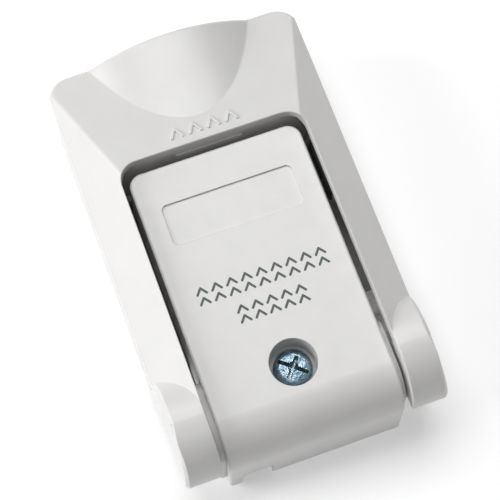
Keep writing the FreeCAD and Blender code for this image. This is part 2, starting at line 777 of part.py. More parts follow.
def front_cover():
    hollow = cover_body(COVER_WALL, COVER_SIDE_WALL, -WIDTH)
    cover = bevelled_cover(cover_body(0, 0, COVER_LIFT)).cut(hollow)
    skirt_cut = block(-FAR, FAR, EAR_BACK, FAR, -BELOW, SKIRT_FOOT)
    cover = cover.cut([skirt_cut, ear_room(), mirrored(ear_room()), cover_notch()])
    cover = cover.fuse(cover_hooks() + cover_ribs())
    tube_foot = HEAD_SEAT - SCREW_SEAT_THICKNESS
    tube_radius = COUNTERBORE_RADIUS + COUNTERBORE_WALL
    cover = cover.fuse(rod_z(0, SCREW_Y, tube_radius, tube_foot, COVER_FACE_UNDER + BELOW))
    counterbore = rod_z(0, SCREW_Y, COUNTERBORE_RADIUS, HEAD_SEAT, COVER_HEIGHT + BELOW)
    hole = rod_z(0, SCREW_Y, SHANK_RADIUS + PART_GAP, 0, COVER_HEIGHT)
    cover = cover.cut([counterbore, hole, label_recess()])
    return cover.removeSplitter()


# Base

def base_plan(distance):
    half = BASE_HALF - distance
    end = BASE_END - distance
    low = SHOULDER_Y + distance
    corner = BASE_CORNER_RADIUS - distance
    round_low = SHOULDER_ROUND
    return [(-half, low, round_low), (half, low, round_low), (half, end, corner), (-half, end, corner)]


def base_ear():
    """Bossed side plate at the hinge, which follows the roll of the cover from inside."""
    shape = inset(cover_profile(), COVER_WALL + PART_GAP)
    top = shape[2][1]
    end = shape[3][0]
    profile = [(end, 0), (EAR_BACK, 0), (EAR_BACK, top, EAR_CORNER_RADIUS), (end, top, shape[3][2])]
    plate = along_x(profile, EAR_INNER, EAR_OUTER)
    return plate.fuse(rod_x(PIVOT_Y, PIVOT_HEIGHT, PIVOT_BOSS_RADIUS, PIN_INNER, EAR_OUTER))


def base_floor():
    wide = along_z(base_plan(0), 0, BASE_FLOOR)
    end = COVER_END + COVER_WALL + PART_GAP
    narrow = block(-EAR_OUTER, EAR_OUTER, end, SHOULDER_Y + BASE_WALL, 0, BASE_FLOOR)
    return wide.fuse(narrow)


def base_walls():
    outer = along_z(base_plan(0), 0, BASE_WALL_TOP)
    inner = along_z(base_plan(BASE_WALL), -BELOW, BASE_WALL_TOP + BELOW)
    clear = COVER_HALF + PART_GAP
    middle = block(-clear, clear, -FAR, 0, -BELOW, FAR)
    throat = block(-EAR_OUTER, EAR_OUTER, -FAR, 0, GUIDE_RIB_HEIGHT, FAR)
    return outer.cut([inner, middle, throat])


def finger_well():
    """Curved wall round the finger space at the pull end, and the gap in the end wall."""
    y = END + FINGER_WELL_CENTRE_OUT
    top = BASE_WALL_TOP - FINGER_WELL_RIM_DROP
    outer = rod_z(0, y, FINGER_WELL_RADIUS + FINGER_WELL_WALL, 0, top)
    inner = rod_z(0, y, FINGER_WELL_RADIUS, BASE_FLOOR, top + 2 * BELOW)
    outer = outer.common(along_z(base_plan(0), 0, top))
    return outer, inner


def cross_wall():
    """Wall behind the cover's top end, with slots for its hooks."""
    y0 = COVER_TOP + PART_GAP
    wall = block(-EAR_OUTER, EAR_OUTER, y0, y0 + CROSS_WALL, 0, CROSS_WALL_HEIGHT)
    slots = []
    for side in (-1, 1):
        x = side * HOOK_SPACING / 2
        half = HOOK_WIDTH / 2 + PART_GAP
        z0 = SKIRT_FOOT - PART_GAP
        z1 = SKIRT_FOOT + HOOK_THICKNESS + PART_GAP
        slots.append(block(x - half, x + half, y0 - BELOW, y0 + CROSS_WALL + BELOW, z0, z1))
    return wall.cut(slots)


def guide_rib():
    x0 = COVER_HALF + PART_GAP
    return block(x0, x0 + GUIDE_RIB, EAR_BACK - BELOW, COVER_TOP + PART_GAP + CROSS_WALL, 0, GUIDE_RIB_HEIGHT)


def board_post_places():
    """Posts that take the board's two screws."""
    y = BOARD_Y1 - BOARD_BAY_LENGTH - BOARD_SCREW_INSET
    return [(BOARD_SCREW_INSET - BOARD_HALF, y), (REED_X - BOARD_SCREW_FROM_REED, y)]


def board_rest_places():
    """Posts on which the board only rests."""
    y = TERMINAL_Y0 + TERMINAL_DEPTH / 2
    x = BOARD_HALF - BOARD_POST_RADIUS
    return [(-x, y), (x, y), (x, REED_MIDDLE)]


def base_posts():
    posts = []
    for x, y in board_post_places() + board_rest_places():
        posts.append(rod_z(x, y, BOARD_POST_RADIUS, 0, BOARD_BOTTOM))
    for y in (WALL_SCREW_Y0, WALL_SCREW_Y1):
        posts.append(rod_z(0, y, WALL_SCREW_PAD_RADIUS, 0, WALL_SCREW_PAD_TOP))
    boss = INSERT_RADIUS + BOSS_WALL
    posts.append(rod_z(0, SCREW_Y, boss, 0, BOSS_TOP))
    reach = boss + BOSS_RIB_LENGTH
    rib_y0 = SCREW_Y - BOSS_WALL / 2
    posts.append(block(-reach, reach, rib_y0, rib_y0 + BOSS_WALL, 0, BOSS_RIB_HEIGHT))
    half = SPRING_WIDTH / 2 + PART_GAP
    posts.append(block(-half, half, SPRING_LEG_Y, SPRING_FOOT_END, 0, SPRING_PAD_TOP))
    return posts


def base_holes():
    holes = []
    for x, y in board_post_places():
        hole = BOARD_SCREW_RADIUS + SCREW_FIT
        holes.append(rod_z(x, y, hole, BOARD_TOP - BOARD_SCREW_LENGTH - PART_GAP, BOARD_TOP))
    for y in (WALL_SCREW_Y0, WALL_SCREW_Y1):
        holes.append(rod_z(0, y, WALL_SCREW_HOLE_RADIUS, -BELOW, WALL_SCREW_PAD_TOP + BELOW))
    holes.append(rod_z(0, SCREW_Y, INSERT_RADIUS + SCREW_FIT, BOSS_TOP - INSERT_LENGTH, BOSS_TOP + BELOW))
    holes.append(rod_z(0, SCREW_Y, SHANK_RADIUS + PART_GAP, HEAD_SEAT - SCREW_LENGTH - BELOW, BOSS_TOP))
    spring_tip = SPRING_PAD_TOP + SPRING_THICKNESS - SPRING_SCREW_LENGTH - PART_GAP
    holes.append(rod_z(0, SPRING_SCREW_Y, SPRING_SCREW_RADIUS + SCREW_FIT, spring_tip, FAR))
    y = -END + WIRE_ENTRY_FROM_END
    plan = rectangle(
        -WIRE_ENTRY_CENTRE - WIRE_ENTRY_WIDTH / 2,
        -WIRE_ENTRY_CENTRE + WIRE_ENTRY_WIDTH / 2,
        y - WIRE_ENTRY_LENGTH / 2,
        y + WIRE_ENTRY_LENGTH / 2,
        WIRE_ENTRY_CORNER_RADIUS,
    )
    holes.append(along_z(plan, -BELOW, BASE_FLOOR + BELOW))
    x1 = NOTCH_X0 + NOTCH_WIDTH
    slot_end = COVER_END + COVER_WALL + NOTCH_WIDTH
    plan = [
        (NOTCH_X0, COVER_END),
        (x1, COVER_END),
        (x1, slot_end, NOTCH_CORNER_RADIUS),
        (NOTCH_X0, slot_end, NOTCH_CORNER_RADIUS),
    ]
    holes.append(along_z(plan, -BELOW, BASE_FLOOR + BELOW))
    return holes


def base():
    well_outer, well_inner = finger_well()
    pieces = [base_walls(), well_outer, cross_wall()] + both_sides(base_ear()) + both_sides(guide_rib())
    body = base_floor().fuse(pieces + base_posts())
    body = body.cut([well_inner] + base_holes())
    bore = rod_x(PIVOT_Y, PIVOT_HEIGHT, PIN_RADIUS, PIN_INNER - BELOW, FAR)
    body = body.cut(both_sides(bore))
    return body.removeSplitter()


# Hinge pins and screws

def hinge_pin():
    """Headed pin, pushed outwards through the ear into the knuckle."""
    pin = rod_x(PIVOT_Y, PIVOT_HEIGHT, PIN_RADIUS, PIN_INNER, PIN_OUTER)
    head = rod_x(PIVOT_Y, PIVOT_HEIGHT, PIN_HEAD_RADIUS, PIN_INNER - PIN_HEAD_THICKNESS, PIN_INNER)
    return pin.fuse(head).removeSplitter()


def cover_screw():
    head = bevelled_head(0, SCREW_Y, HEAD_SEAT, HEAD_RADIUS, HEAD_HEIGHT)
    screw = head.fuse(shank_and_point(0, SCREW_Y, HEAD_SEAT, SHANK_RADIUS, SCREW_LENGTH))
    top = HEAD_SEAT + HEAD_HEIGHT
    recess = cross_recess(0, SCREW_Y, top)
    recess.rotate(Vector(0, SCREW_Y, 0), Vector(0, 0, 1), RECESS_TURN)
    return screw.cut(recess).removeSplitter()


def screw_insert():
    """Brass sleeve in the boss, which takes the cover screw."""
    body = rod_z(0, SCREW_Y, INSERT_RADIUS, BOSS_TOP - INSERT_LENGTH, BOSS_TOP)
    return body.cut(rod_z(0, SCREW_Y, SHANK_RADIUS + SCREW_FIT, 0, COVER_HEIGHT))


# Electrical parts

def circuit_board():
    """L-shaped board that leaves room for the upper wall screw."""
    bay_x = BOARD_HALF - BOARD_ARM_WIDTH
    bay_y = BOARD_Y1 - BOARD_BAY_LENGTH
    corners = [
        (-BOARD_HALF, BOARD_Y0),
        (BOARD_HALF, BOARD_Y0),
        (BOARD_HALF, BOARD_Y1),
        (bay_x, BOARD_Y1),
        (bay_x, bay_y),
        (-BOARD_HALF, bay_y),
    ]
    plan = [(x, y, BOARD_CORNER_RADIUS) for x, y in corners]
    board = along_z(plan, BOARD_BOTTOM, BOARD_TOP)
    holes = []
    for x, y in board_post_places():
        holes.append(rod_z(x, y, BOARD_SCREW_RADIUS + PART_GAP, 0, FAR))
    for x, y in lead_places():
        holes.append(rod_z(x, y, LEAD_RADIUS + LEAD_FIT, 0, FAR))
    return board.cut(holes)


def board_screws():
    screws = []
    head = (BOARD_SCREW_HEAD_RADIUS, BOARD_SCREW_HEAD_HEIGHT)
    for x, y in board_post_places():
        screws.append(small_screw(x, y, BOARD_TOP, *head, BOARD_SCREW_RADIUS, BOARD_SCREW_LENGTH))
    return screws


def pole_places():
    first = -(POLES - 1) * POLE_PITCH / 2
    return [first + i * POLE_PITCH for i in range(POLES)]


def pole_cuts(x):
    """Wire hole and screw well of one pole."""
    half = WIRE_HOLE_SIZE / 2
    hole_top = CLAMP_Z0 + WIRE_HOLE_SIZE
    front = TERMINAL_Y0 - BELOW
    hole = block(x - half, x + half, front, TERMINAL_Y0 + WIRE_HOLE_DEPTH, CLAMP_Z0, hole_top)
    well = rod_z(x, TERMINAL_MIDDLE, TERMINAL_HEAD_RADIUS + TERMINAL_WELL_FIT, hole_top, FAR)
    return [hole, well]


def pole_groove(x, top):
    """Shallow groove across the block's top, in the middle between two poles."""
    x0 = x - (POLE_PITCH + DRIVER_SLOT) / 2
    front = TERMINAL_Y0 - BELOW
    return block(x0, x0 + DRIVER_SLOT, front, TERMINAL_Y1 + BELOW, top - DRIVER_SLOT, top + BELOW)


def terminal_block():
    half = POLES * POLE_PITCH / 2 + TERMINAL_END_WALL
    top = BOARD_TOP + TERMINAL_HEIGHT
    shape = [
        (TERMINAL_Y0, BOARD_TOP),
        (TERMINAL_Y1, BOARD_TOP),
        (TERMINAL_Y1, top),
        (TERMINAL_Y0 + TERMINAL_CHAMFER, top),
        (TERMINAL_Y0, top - TERMINAL_CHAMFER),
    ]
    cuts = []
    for x in pole_places():
        cuts += pole_cuts(x)
    cuts += [pole_groove(x, top) for x in pole_places()[1:]]
    return along_x(shape, -half, half).cut(cuts)


def wire_clamps():
    """Plated angle at the bottom and the back of each wire hole, tapped for its screw."""
    clamps = []
    half = WIRE_HOLE_SIZE / 2 - CLAMP_FIT
    y0 = TERMINAL_Y0 + TERMINAL_END_WALL
    y1 = TERMINAL_Y0 + WIRE_HOLE_DEPTH - CLAMP_FIT
    plate_top = CLAMP_Z0 + CLAMP_THICKNESS
    back_top = CLAMP_Z0 + WIRE_HOLE_SIZE - CLAMP_FIT
    for x in pole_places():
        plate = block(x - half, x + half, y0, y1, CLAMP_Z0, plate_top)
        back = block(x - half, x + half, y1 - CLAMP_THICKNESS, y1, CLAMP_Z0, back_top)
        hole = rod_z(x, TERMINAL_MIDDLE, TERMINAL_SCREW_RADIUS + SCREW_FIT, 0, plate_top + BELOW)
        clamps.append(plate.fuse(back).cut(hole).removeSplitter())
    return clamps


def terminal_screws():
    """Slotted screws that press the wires on their clamps."""
    screws = []
    top = BOARD_TOP + TERMINAL_HEIGHT - TERMINAL_HEAD_SINK
    seat = top - TERMINAL_HEAD_HEIGHT
    length = 2 * TERMINAL_HEAD_RADIUS + 2 * BELOW
    for x in pole_places():
        head = bevelled_head(x, TERMINAL_MIDDLE, seat, TERMINAL_HEAD_RADIUS, TERMINAL_HEAD_HEIGHT)
        shank = rod_z(x, TERMINAL_MIDDLE, TERMINAL_SCREW_RADIUS, CLAMP_Z0, seat)
        corner = Vector(x - length / 2, TERMINAL_MIDDLE - DRIVER_SLOT / 2, top - DRIVER_SLOT)
        slot = Part.makeBox(length, DRIVER_SLOT, DRIVER_SLOT + BELOW, corner)
        screws.append(head.fuse(shank).cut(slot).removeSplitter())
    return screws


def lead_places():
    """Where the reed switch's three leads go through the board."""
    return [
        (REED_X, REED_Y0 - LEAD_RUN),
        (REED_X - LEAD_SPREAD / 2, REED_Y1 + LEAD_RUN),
        (REED_X + LEAD_SPREAD / 2, REED_Y1 + LEAD_RUN),
    ]


def reed_glass():
    """Sealed tube, hollow between its two seals."""
    tube = rod_y(REED_X, REED_Z, REED_RADIUS, REED_Y0, REED_Y1)
    hollow = rod_y(REED_X, REED_Z, REED_RADIUS - REED_WALL, REED_Y0 + REED_SEAL, REED_Y1 - REED_SEAL)
    holes = [rod_y(REED_X, REED_Z, LEAD_RADIUS, REED_Y0 - BELOW, REED_Y0 + REED_SEAL + BELOW)]
    for side in (-1, 1):
        x = REED_X + side * LEAD_SPREAD_IN_GLASS / 2
        holes.append(rod_y(x, REED_Z, LEAD_RADIUS, REED_Y1 - REED_SEAL - BELOW, REED_Y1 + BELOW))
    return tube.cut([hollow] + holes)


def bent_lead(x_glass, y_glass, x_board, y_board):
    """Round wire from inside the glass, out along it and down through the board."""
    side = 1 if y_board > y_glass else -1
    low = BOARD_BOTTOM - LEAD_BELOW_BOARD
    start = Vector(x_glass, y_glass, REED_Z)
    out = Vector(x_glass, y_board - side * LEAD_BEND, REED_Z)
    drop = Vector(x_board, y_board, REED_Z - LEAD_BEND)
    stop = Vector(x_board, y_board, low)
    path = Part.makePolygon([start, out, drop, stop])
    section = Part.Wire(Part.makeCircle(LEAD_RADIUS, start, Vector(0, side, 0)))
    return path.makePipeShell([section], True, True, MITRED)


def blade(x, y0, y1):
    """Flat end of a lead inside the glass, standing on edge."""
    return Part.makeBox(
        BLADE_THICKNESS,
        y1 - y0,
        BLADE_WIDTH,
        Vector(x - BLADE_THICKNESS / 2, y0, REED_Z - BLADE_WIDTH / 2),
    )


def reed_leads():
    """Common lead, whose blade reaches between those of the closed and the open contact."""
    seal_0 = REED_Y0 + REED_SEAL
    seal_1 = REED_Y1 - REED_SEAL
    places = lead_places()
    common = bent_lead(REED_X, seal_0 + LEAD_RADIUS, *places[0])
    leads = [common.fuse(blade(REED_X, seal_0, REED_MIDDLE + BLADE_LAP / 2))]
    for side, gap, place in ((-1, CLOSED_CONTACT_GAP, places[1]), (1, OPEN_CONTACT_GAP, places[2])):
        in_glass = REED_X + side * LEAD_SPREAD_IN_GLASS / 2
        contact = REED_X + side * (BLADE_THICKNESS + gap)
        lead = bent_lead(in_glass, seal_1 - LEAD_RADIUS, *place)
        leads.append(lead.fuse(blade(contact, REED_MIDDLE - BLADE_LAP / 2, seal_1)))
    return leads


# Magnet and detent spring

def lever_magnet():
    x1 = MAGNET_X0 + MAGNET_WIDTH
    c = MAGNET_CHAMFER
    shape = [
        (MAGNET_X0 + c, MAGNET_Z0),
        (x1 - c, MAGNET_Z0),
        (x1, MAGNET_Z0 + c),
        (x1, MAGNET_TOP_HEIGHT - c),
        (x1 - c, MAGNET_TOP_HEIGHT),
        (MAGNET_X0 + c, MAGNET_TOP_HEIGHT),
        (MAGNET_X0, MAGNET_TOP_HEIGHT - c),
        (MAGNET_X0, MAGNET_Z0 + c),
    ]
    return along_y(shape, MAGNET_Y0, MAGNET_Y1)


def strip_sides(points, thickness):
    """Both sides of a bent strip, from the points (y, z, bend radius) of its middle line."""
    left = []
    right = []
    last = len(points) - 1
    for i, (y, z, bend) in enumerate(points):
        before = points[max(i - 1, 0)]
        after = points[min(i + 1, last)]
        ahead = xy(after[0] - y, after[1] - z)
        behind = xy(y - before[0], z - before[1])
        ahead = ahead.normalize() if i < last else behind.normalize()
        behind = behind.normalize() if i > 0 else ahead
        middle = (ahead + behind).normalize()
        reach = thickness / 2 / middle.dot(ahead)
        turn = behind.cross(ahead).z
        grow = math.copysign(thickness / 2, turn) if bend else 0
        left.append((y - middle.y * reach, z + middle.x * reach, bend - grow))
        right.append((y + middle.y * reach, z - middle.x * reach, bend + grow))
    return left, right


def detent_spring():
    """Leaf spring: a screwed foot, a leg and a formed nose that faces the catch."""
    half = SPRING_THICKNESS / 2
    low = SPRING_PAD_TOP + half
    leg = SPRING_LEG_Y + half
    nose_z = CATCH_TOP_HEIGHT + SPRING_NOSE
    bend = SPRING_BEND_RADIUS
    middle_line = [
        (SPRING_FOOT_END, low, 0),
        (leg, low, bend),
        (leg, nose_z - 2 * SPRING_NOSE, bend),
        (leg - SPRING_NOSE, nose_z, bend / 2),
        (leg, nose_z + 2 * SPRING_NOSE, bend),
        (leg + SPRING_TAIL_LEAN, nose_z + 2 * SPRING_NOSE + SPRING_TAIL_RISE, 0),
    ]
    left, right = strip_sides(middle_line, SPRING_THICKNESS)
    body = along_x(left + right[::-1], -SPRING_WIDTH / 2, SPRING_WIDTH / 2)
    hole = rod_z(0, SPRING_SCREW_Y, SPRING_SCREW_RADIUS + PART_GAP, 0, SPRING_PAD_TOP + BELOW)
    return body.cut(hole)


def detent_screw():
    seat = SPRING_PAD_TOP + SPRING_THICKNESS
    head = (SPRING_SCREW_HEAD_RADIUS, SPRING_SCREW_HEAD_HEIGHT)
    return small_screw(0, SPRING_SCREW_Y, seat, *head, SPRING_SCREW_RADIUS, SPRING_SCREW_LENGTH)


def all_pieces():
    pieces = {
        "base": base(),
        "front_cover": front_cover(),
        "pull_lever": pull_lever(),
        "cover_screw": cover_screw(),
        "screw_insert": screw_insert(),
        "hinge_pin_right": hinge_pin(),
        "hinge_pin_left": mirrored(hinge_pin()),
        "lever_magnet": lever_magnet(),
        "detent_spring": detent_spring(),
        "detent_screw": detent_screw(),
        "circuit_board": circuit_board(),
        "terminal_block": terminal_block(),
        "reed_glass": reed_glass(),
    }
    for name, screw in zip(("left", "right"), board_screws()):
        pieces["board_screw_" + name] = screw
    for number, (screw, clamp) in enumerate(zip(terminal_screws(), wire_clamps()), 1):
        pieces["terminal_screw_%d" % number] = screw
        pieces["wire_clamp_%d" % number] = clamp
    for name, lead in zip(("common", "closed", "open"), reed_leads()):
        pieces["reed_lead_" + name] = lead
    return pieces


os.makedirs("parts", exist_ok=True)
for name, shape in all_pieces().items():
    shape.exportStep("parts/" + name + ".step")
    print(name, len(shape.Solids), "solid", shape.isValid(), round(shape.Volume, 2))
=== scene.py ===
import bmesh
import bpy
import json
import math
from mathutils import Matrix, Vector


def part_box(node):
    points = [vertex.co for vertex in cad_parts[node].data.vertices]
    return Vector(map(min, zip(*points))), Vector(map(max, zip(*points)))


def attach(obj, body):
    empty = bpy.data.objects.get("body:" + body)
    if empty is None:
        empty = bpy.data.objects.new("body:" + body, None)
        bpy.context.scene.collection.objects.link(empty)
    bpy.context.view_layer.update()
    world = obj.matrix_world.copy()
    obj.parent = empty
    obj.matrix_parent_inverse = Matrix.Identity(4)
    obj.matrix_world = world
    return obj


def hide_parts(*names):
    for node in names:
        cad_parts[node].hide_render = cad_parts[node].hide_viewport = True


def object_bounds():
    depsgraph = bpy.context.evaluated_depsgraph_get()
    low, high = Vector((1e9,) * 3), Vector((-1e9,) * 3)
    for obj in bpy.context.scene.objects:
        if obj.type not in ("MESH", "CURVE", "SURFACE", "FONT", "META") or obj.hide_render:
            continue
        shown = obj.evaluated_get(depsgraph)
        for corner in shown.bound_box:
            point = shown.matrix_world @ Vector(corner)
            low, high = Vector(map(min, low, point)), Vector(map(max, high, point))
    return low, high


# Dressed scene of the pull-lever alarm switch. The CAD frame is fixed; everything here is in metres.

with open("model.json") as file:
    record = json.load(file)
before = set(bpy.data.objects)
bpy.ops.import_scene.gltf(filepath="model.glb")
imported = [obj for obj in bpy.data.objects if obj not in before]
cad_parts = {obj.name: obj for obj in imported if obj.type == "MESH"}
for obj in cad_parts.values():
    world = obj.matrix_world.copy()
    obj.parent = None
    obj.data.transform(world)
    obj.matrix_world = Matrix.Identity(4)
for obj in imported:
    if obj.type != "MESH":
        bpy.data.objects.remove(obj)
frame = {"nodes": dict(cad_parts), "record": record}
cad_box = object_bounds()
nodes = frame["nodes"]
scene = bpy.context.scene
MM = 0.001


# Camera, at the photograph's viewing angle, as solved on the object's straight edges in it

CAMERA_PLACE = Vector((-42.40, -115.52, 352.53)) * MM
CAMERA_RIGHT = Vector((0.939707, -0.341917, 0.006578))
CAMERA_UP = Vector((0.32009, 0.886166, 0.335042))
CAMERA_BACK = Vector((-0.120386, -0.312735, 0.94218))
CAMERA_LENS = 129.6
CAMERA_SENSOR = 36.0
CAMERA_CLIP = (0.01, 10.0)


def aimed(thing, rotation, place):
    """Puts a camera or lamp in the scene."""
    thing.rotation_mode = "QUATERNION"
    thing.rotation_quaternion = rotation
    thing.location = place
    scene.collection.objects.link(thing)


def make_camera():
    data = bpy.data.cameras.new("camera")
    data.lens = CAMERA_LENS
    data.sensor_width = CAMERA_SENSOR
    data.clip_start, data.clip_end = CAMERA_CLIP
    camera = bpy.data.objects.new("camera", data)
    rotation = Matrix((CAMERA_RIGHT, CAMERA_UP, CAMERA_BACK)).transposed()
    aimed(camera, rotation.to_quaternion(), CAMERA_PLACE)
    scene.camera = camera


# Node helpers

NOISE_LOW, NOISE_HIGH = 0.3, 0.7  # most of a noise's values lie between these
EDGE_START, EDGE_FULL = 0.995, 0.90  # cosine of the turn that rounding gives the normal


class Graph:
    """A material's node tree with short calls that add and link nodes."""

    def __init__(self, name):
        self.material = bpy.data.materials.new(name)
        self.material.use_nodes = True
        self.tree = self.material.node_tree
        self.tree.nodes.clear()
        output = self.node("ShaderNodeOutputMaterial")
        self.shader = self.node("ShaderNodeBsdfPrincipled")
        self.link(self.shader.outputs["BSDF"], output.inputs["Surface"])
        self.place = self.node("ShaderNodeTexCoord").outputs["Object"]

    def node(self, kind, **settings):
        made = self.tree.nodes.new(kind)
        for key, value in settings.items():
            setattr(made, key, value)
        return made

    def link(self, source, target):
        self.tree.links.new(source, target)

    def feed(self, node, **values):
        """Sets a node's inputs, each to a plain value or a socket."""
        for key, value in values.items():
            self.plug(value, node.inputs[key.replace("_", " ")])
        return node

    def plug(self, value, socket):
        if isinstance(value, (int, float, tuple)):
            socket.default_value = value
        else:
            self.link(value, socket)

    def set(self, **values):
        self.feed(self.shader, **values)

    # Values that change over the surface

    def stretched(self, scale, turn=(0.0, 0.0, 0.0)):
        """Object coordinates, stretched and turned."""
        mapping = self.node("ShaderNodeMapping")
        return self.feed(mapping, Rotation=turn, Scale=scale, Vector=self.place).outputs["Vector"]

    def axes(self):
        """Object coordinates as three values, X, Y and Z."""
        return self.feed(self.node("ShaderNodeSeparateXYZ"), Vector=self.place).outputs

    def noise(self, scale, detail=3.0, roughness=0.5, distortion=0.0, vector=None):
        """Noise of a scale in cells per metre."""
        made = self.node("ShaderNodeTexNoise")
        self.feed(made, Scale=scale, Detail=detail, Roughness=roughness, Distortion=distortion)
        return self.feed(made, Vector=vector or self.place).outputs["Fac"]

    def ramp(self, value, low, high, start, stop):
        """Value from low..high spread over start..stop."""
        made = self.node("ShaderNodeMapRange")
        self.feed(made, From_Min=low, From_Max=high, To_Min=start, To_Max=stop)
        return self.feed(made, Value=value).outputs["Result"]

    def math(self, operation, first, second=0.0):
        made = self.node("ShaderNodeMath", operation=operation)
        self.plug(first, made.inputs[0])
        self.plug(second, made.inputs[1])
        return made.outputs[0]

    def mix(self, share, first, second):
        """Colour between first and second; each is a colour or a socket."""
        made = self.node("ShaderNodeMix", data_type="RGBA")
        for index, value in ((0, share), (6, first), (7, second)):
            self.plug(value, made.inputs[index])
        return made.outputs[2]

    def blotches(self, noise, first, second):
        """Colour that goes from first to second with a noise."""
        return self.mix(self.ramp(noise, NOISE_LOW, NOISE_HIGH, 0.0, 1.0), first, second)

    def edge_share(self, radius):
        """Rises from 0 on the surface to 1 at its sharp edges."""
        facing = self.node("ShaderNodeVectorMath", operation="DOT_PRODUCT")
        self.link(self.soft_edges(radius), facing.inputs[0])
        self.link(self.node("ShaderNodeNewGeometry").outputs["Normal"], facing.inputs[1])
        return self.ramp(facing.outputs["Value"], EDGE_START, EDGE_FULL, 0.0, 1.0)

    def rings(self, centre, spacing):
        """Waves from -1 to 1 round an upright axis through centre."""
        axes = self.axes()
        x = self.math("SUBTRACT", axes["X"], centre.x)
        y = self.math("SUBTRACT", axes["Y"], centre.y)
        square = self.math("ADD", self.math("MULTIPLY", x, x), self.math("MULTIPLY", y, y))
        radius = self.math("SQRT", square)
        return self.math("SINE", self.math("MULTIPLY", radius, 2 * math.pi / spacing))

    # What the shader takes

    def paint(self, colour):
        self.link(colour, self.shader.inputs["Base Color"])

    def roughen(self, noise, low, high):
        """Roughness from low to high with a noise."""
        rough = self.ramp(noise, NOISE_LOW, NOISE_HIGH, low, high)
        self.link(rough, self.shader.inputs["Roughness"])

    def soft_edges(self, radius):
        """Normal that rounds the model's edges by a small radius."""
        made = self.node("ShaderNodeBevel", samples=6)
        return self.feed(made, Radius=radius).outputs["Normal"]

    def bump(self, layers, normal=None):
        """Stacks bump layers of (height socket, strength, distance in metres)."""
        for height, strength, distance in layers:
            made = self.node("ShaderNodeBump")
            self.feed(made, Strength=strength, Distance=distance, Height=height)
            if normal is not None:
                self.link(normal, made.inputs["Normal"])
            normal = made.outputs["Normal"]
        self.link(normal, self.shader.inputs["Normal"])


def rgb(red, green, blue):
    return (red, green, blue, 1.0)


# Materials

MOULDED_EDGE = 0.25 * MM
# width of the near-white screw-head edges: partly rubbed zinc, partly a painted highlight
RUBBED_AND_HIGHLIT_EDGE = 0.16 * MM
LATHE_RING = 0.42 * MM
# painted light: how strongly the floor glows, and over what width the glow fades out under the tray
FLOOR_GLOW = 0.28
FLOOR_GLOW_FADE = 4.0 * MM


def white_plastic(name, shade, tone, rough_low, rough_high, grain=0.04):
    """Moulded white ABS: faint mottle, fine mould grain, slow waviness from shrinkage."""
    g = Graph(name)
    g.paint(g.blotches(g.noise(160.0), shade, tone))
    g.roughen(g.noise(420.0, detail=2.0), rough_low, rough_high)
    wavy = g.noise(45.0, detail=1.0, roughness=0.4)
    fine = g.noise(1500.0, detail=1.0)
    g.bump([(wavy, 0.10, 0.4 * MM), (fine, grain, 0.02 * MM)], g.soft_edges(MOULDED_EDGE))
    g.set(IOR=1.54, Subsurface_Weight=0.06, Subsurface_Scale=1.2 * MM, Specular_IOR_Level=0.5)
    return g.material


def zinc_noises(g):
    """Cloudy tint, fine scratches and grain of zinc plate."""
    cloud = g.noise(520.0, detail=4.0, roughness=0.6, distortion=0.6)
    along_scratches = g.stretched((1.0, 6.0, 1.0), turn=(0.0, 0.0, 0.6))
    scratch = g.noise(900.0, roughness=0.6, vector=along_scratches)
    grain = g.noise(5200.0, detail=2.0, roughness=0.6)
    return cloud, scratch, grain


def zinc(name):
    """Zinc plate with blue passivation."""
    g = Graph(name)
    cloud, scratch, grain = zinc_noises(g)
    g.paint(g.blotches(cloud, rgb(0.15, 0.28, 0.35), rgb(0.38, 0.50, 0.55)))
    g.roughen(scratch, 0.28, 0.56)
    g.bump([(cloud, 0.5, 0.06 * MM), (scratch, 0.4, 0.03 * MM), (grain, 0.1, 0.01 * MM)])
    g.set(Metallic=0.85, IOR=2.0)
    return g.material


def worn_highlit_zinc(name, centre):
    """Zinc plate of a used screw head: dents and lathe rings that glint, and edges painted near-white,
    partly for rubbed zinc and partly as a painted highlight.
    """
    g = Graph(name)
    cloud, scratch, grain = zinc_noises(g)
    plate = g.blotches(cloud, rgb(0.10, 0.22, 0.30), rgb(0.35, 0.46, 0.51))
    # painted highlight: sharp edges are mixed to near-white, partly standing for rubbed zinc
    g.paint(g.mix(g.edge_share(RUBBED_AND_HIGHLIT_EDGE), plate, rgb(0.86, 0.92, 0.94)))
    g.roughen(scratch, 0.16, 0.40)
    dents = g.noise(850.0, roughness=0.55)
    lathe = g.rings(centre, LATHE_RING)
    g.bump([(dents, 1.0, 0.3 * MM), (grain, 0.1, 0.01 * MM), (lathe, 1.0, 0.008 * MM)])
    g.set(Metallic=0.85, IOR=2.0)
    return g.material


def drawn_metal(name, tone, dull, along, rough=(0.18, 0.36)):
    """Drawn or rolled metal: lines along one direction, dull patches."""
    g = Graph(name)
    lines = g.noise(3000.0, detail=2.0, roughness=0.6, vector=g.stretched(along))
    patches = g.noise(380.0, roughness=0.6)
    g.paint(g.mix(g.ramp(patches, 0.35, 0.75, 0.0, 0.8), tone, dull))
    g.roughen(lines, *rough)
    g.bump([(lines, 0.15, 0.02 * MM)])
    g.set(Metallic=1.0)
    return g.material


def magnet_block(name):
    """Sintered and ground magnet: blue-grey patches with pale grains."""
    g = Graph(name)
    grain = g.noise(2400.0, detail=6.0, roughness=0.75)
    patches = g.noise(260.0, roughness=0.6)
    tone = g.blotches(patches, rgb(0.05, 0.056, 0.065), rgb(0.09, 0.10, 0.11))
    g.paint(g.mix(g.ramp(grain, 0.55, 0.8, 0.0, 0.5), tone, rgb(0.2, 0.21, 0.22)))
    g.roughen(grain, 0.38, 0.62)
    g.bump([(grain, 0.35, 0.04 * MM)])
    g.set(Metallic=0.35)
    return g.material


